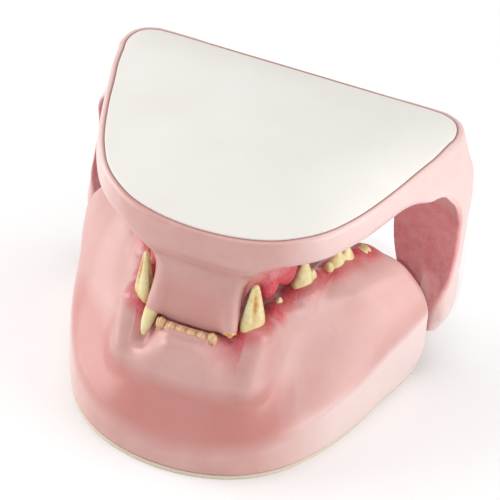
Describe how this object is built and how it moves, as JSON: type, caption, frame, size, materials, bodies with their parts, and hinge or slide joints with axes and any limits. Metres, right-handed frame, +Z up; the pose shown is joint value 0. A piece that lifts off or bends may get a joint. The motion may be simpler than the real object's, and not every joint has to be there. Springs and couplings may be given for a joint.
{
  "type": "typodont model",
  "caption": "Closed hinged jaw model of a cat: pink gum bodies with inset teeth, the mandible lying upside down on the maxilla, flat base plates.",
  "frame": {"origin": "middle of the model's outline, at the level of the resting face", "axes": "+Z up, the incisors face -Y, the hinge lies at the +Y end along X"},
  "size_m": [0.0848, 0.0718, 0.0576],
  "materials": {
    "gum_resin": "glossy cast resin",
    "white_plate": "satin sheet",
    "base_card": "matt sheet",
    "tooth_resin": "glossy, stained",
    "rod_steel": "drawn",
    "bush_acetal": "turned"
  },
  "bodies": {
    "maxilla": {"hinge_rod": "rod_steel", "maxilla_base_plate": "base_card", "maxilla_gum_body": "gum_resin", "maxilla_left_canine": "tooth_resin", "maxilla_left_incisor_1": "tooth_resin", "maxilla_left_incisor_2": "tooth_resin", "maxilla_left_incisor_3": "tooth_resin", "maxilla_left_molar_1": "tooth_resin", "maxilla_left_premolar_2": "tooth_resin", "maxilla_left_premolar_3": "tooth_resin", "maxilla_left_premolar_4": "tooth_resin", "maxilla_right_canine": "tooth_resin", "maxilla_right_incisor_1": "tooth_resin", "maxilla_right_incisor_2": "tooth_resin", "maxilla_right_incisor_3": "tooth_resin", "maxilla_right_molar_1": "tooth_resin", "maxilla_right_premolar_2": "tooth_resin", "maxilla_right_premolar_3": "tooth_resin", "maxilla_right_premolar_4": "tooth_resin"},
    "mandible": {"hinge_bush_left": "bush_acetal", "hinge_bush_right": "bush_acetal", "hinge_plug_left": "gum_resin", "hinge_plug_right": "gum_resin", "mandible_base_plate": "white_plate", "mandible_gum_body": "gum_resin", "mandible_left_canine": "tooth_resin", "mandible_left_incisor_1": "tooth_resin", "mandible_left_incisor_2": "tooth_resin", "mandible_left_incisor_3": "tooth_resin", "mandible_left_molar_1": "tooth_resin", "mandible_left_premolar_3": "tooth_resin", "mandible_left_premolar_4": "tooth_resin", "mandible_right_canine_stub": "tooth_resin", "mandible_right_incisor_1": "tooth_resin", "mandible_right_incisor_2": "tooth_resin", "mandible_right_incisor_3": "tooth_resin", "mandible_right_molar_1": "tooth_resin", "mandible_right_premolar_3": "tooth_resin", "mandible_right_premolar_4": "tooth_resin"}
  },
  "joints": [
    {"name": "jaw_hinge", "type": "hinge", "parent": "maxilla", "child": "mandible", "pos_m": [0, 0.0254, 0.016], "axis": [-1, 0, 0], "range_deg": [0, 44]}
  ]
}
